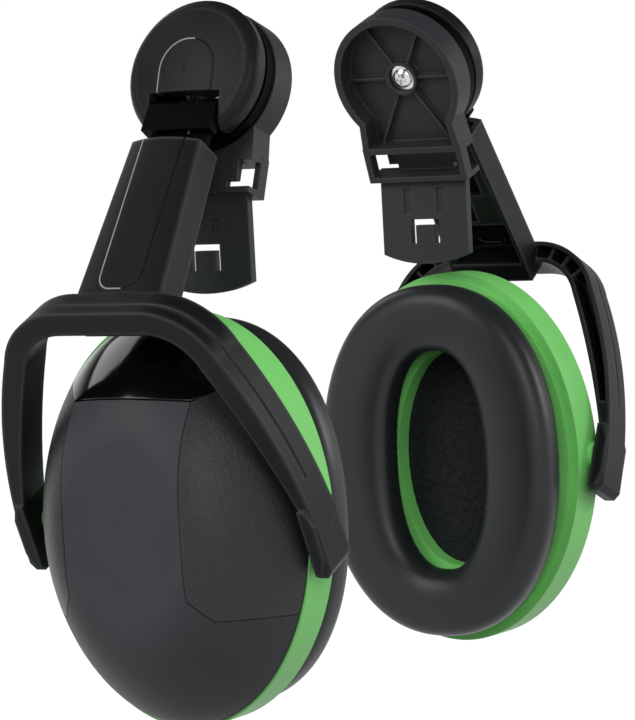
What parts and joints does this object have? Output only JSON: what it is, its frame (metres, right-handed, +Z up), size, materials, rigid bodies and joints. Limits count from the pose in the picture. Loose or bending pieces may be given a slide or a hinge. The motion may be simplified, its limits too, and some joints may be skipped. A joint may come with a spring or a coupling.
{
  "type": "pair of helmet-mounted ear muffs",
  "caption": "Pair of helmet-mounted ear muffs: clip adapter with swivel hub, hinged sliding arm, yoke and oval cup with soft cushion.",
  "frame": {"origin": "middle of the wearer's head, level with the two hub points on the trays' rim planes", "axes": "+Z up, -Y the wearer's front, +X the wearer's left; the left muff is on +X"},
  "size_m": [0.229, 0.0964, 0.1933],
  "materials": {
    "black_polymer": "fine-grained black moulding",
    "textured_black": "spark-textured black moulding",
    "matt_black": "smooth matt black",
    "satin_grey": "satin dark grey",
    "gloss_black": "high-gloss black",
    "green_polymer": "bright green, satin",
    "soft_cushion": "soft smooth dark grey sheet over foam",
    "foam": "open-cell dark foam",
    "plated_steel": "bright zinc plated",
    "brass": "machined brass"
  },
  "bodies": {
    "helmet_mounts": {"left_adapter": "black_polymer", "left_index_ring": "black_polymer", "left_screw_washer": "plated_steel", "left_disc_spring": "plated_steel", "right_adapter": "black_polymer", "right_index_ring": "black_polymer", "right_screw_washer": "plated_steel", "right_disc_spring": "plated_steel"},
    "left_hub": {"left_hub_cap": "black_polymer", "left_pivot_screw": "plated_steel", "left_threaded_insert": "brass", "left_hinge_pin": "plated_steel", "left_press_spring": "plated_steel"},
    "left_strap": {"left_slide_strap": "matt_black"},
    "left_arm": {"left_yoke_arm": "black_polymer", "left_height_catch": "matt_black"},
    "left_cup": {"left_seat_ring": "green_polymer", "left_pivot_studs": "plated_steel", "left_cup_shell": "textured_black", "left_front_panel": "satin_grey", "left_top_panel": "gloss_black", "left_cushion_plate": "green_polymer", "left_ear_cushion": "soft_cushion", "left_foam_insert": "foam"},
    "right_hub": {"right_hub_cap": "black_polymer", "right_pivot_screw": "plated_steel", "right_threaded_insert": "brass", "right_hinge_pin": "plated_steel", "right_press_spring": "plated_steel"},
    "right_strap": {"right_slide_strap": "matt_black"},
    "right_arm": {"right_yoke_arm": "black_polymer", "right_height_catch": "matt_black"},
    "right_cup": {"right_seat_ring": "green_polymer", "right_pivot_studs": "plated_steel", "right_cup_shell": "textured_black", "right_front_panel": "satin_grey", "right_top_panel": "gloss_black", "right_cushion_plate": "green_polymer", "right_ear_cushion": "soft_cushion", "right_foam_insert": "foam"}
  },
  "joints": [
    {"name": "left_hub_swing", "type": "hinge", "parent": "helmet_mounts", "child": "left_hub", "pos_m": [0.0452, 0, 0], "axis": [0.9397, 0, 0.342], "range_deg": [-40, 40]},
    {"name": "left_arm_fold", "type": "hinge", "parent": "left_hub", "child": "left_strap", "pos_m": [0.06442, 0, -0.00428], "axis": [0, -1, 0], "range_deg": [-8, 35], "deforming": ["left_press_spring"]},
    {"name": "left_arm_slide", "type": "slide", "parent": "left_strap", "child": "left_arm", "axis": [0.5563, 0, -0.831], "range_m": [-0.004, 0.01], "deforming": ["left_height_catch"]},
    {"name": "left_cup_tilt", "type": "hinge", "parent": "left_arm", "child": "left_cup", "pos_m": [0.07866, 0, -0.11291], "axis": [0, -1, 0], "range_deg": [-12, 12]},
    {"name": "right_hub_swing", "type": "hinge", "parent": "helmet_mounts", "child": "right_hub", "pos_m": [-0.0452, 0, 0], "axis": [0.9397, 0, -0.342], "range_deg": [-40, 40]},
    {"name": "right_arm_fold", "type": "hinge", "parent": "right_hub", "child": "right_strap", "pos_m": [-0.06442, 0, -0.00428], "axis": [0, 1, 0], "range_deg": [-8, 35], "deforming": ["right_press_spring"]},
    {"name": "right_arm_slide", "type": "slide", "parent": "right_strap", "child": "right_arm", "axis": [-0.5563, 0, -0.831], "range_m": [-0.004, 0.01], "deforming": ["right_height_catch"]},
    {"name": "right_cup_tilt", "type": "hinge", "parent": "right_arm", "child": "right_cup", "pos_m": [-0.07866, 0, -0.11291], "axis": [0, 1, 0], "range_deg": [-12, 12]}
  ]
}
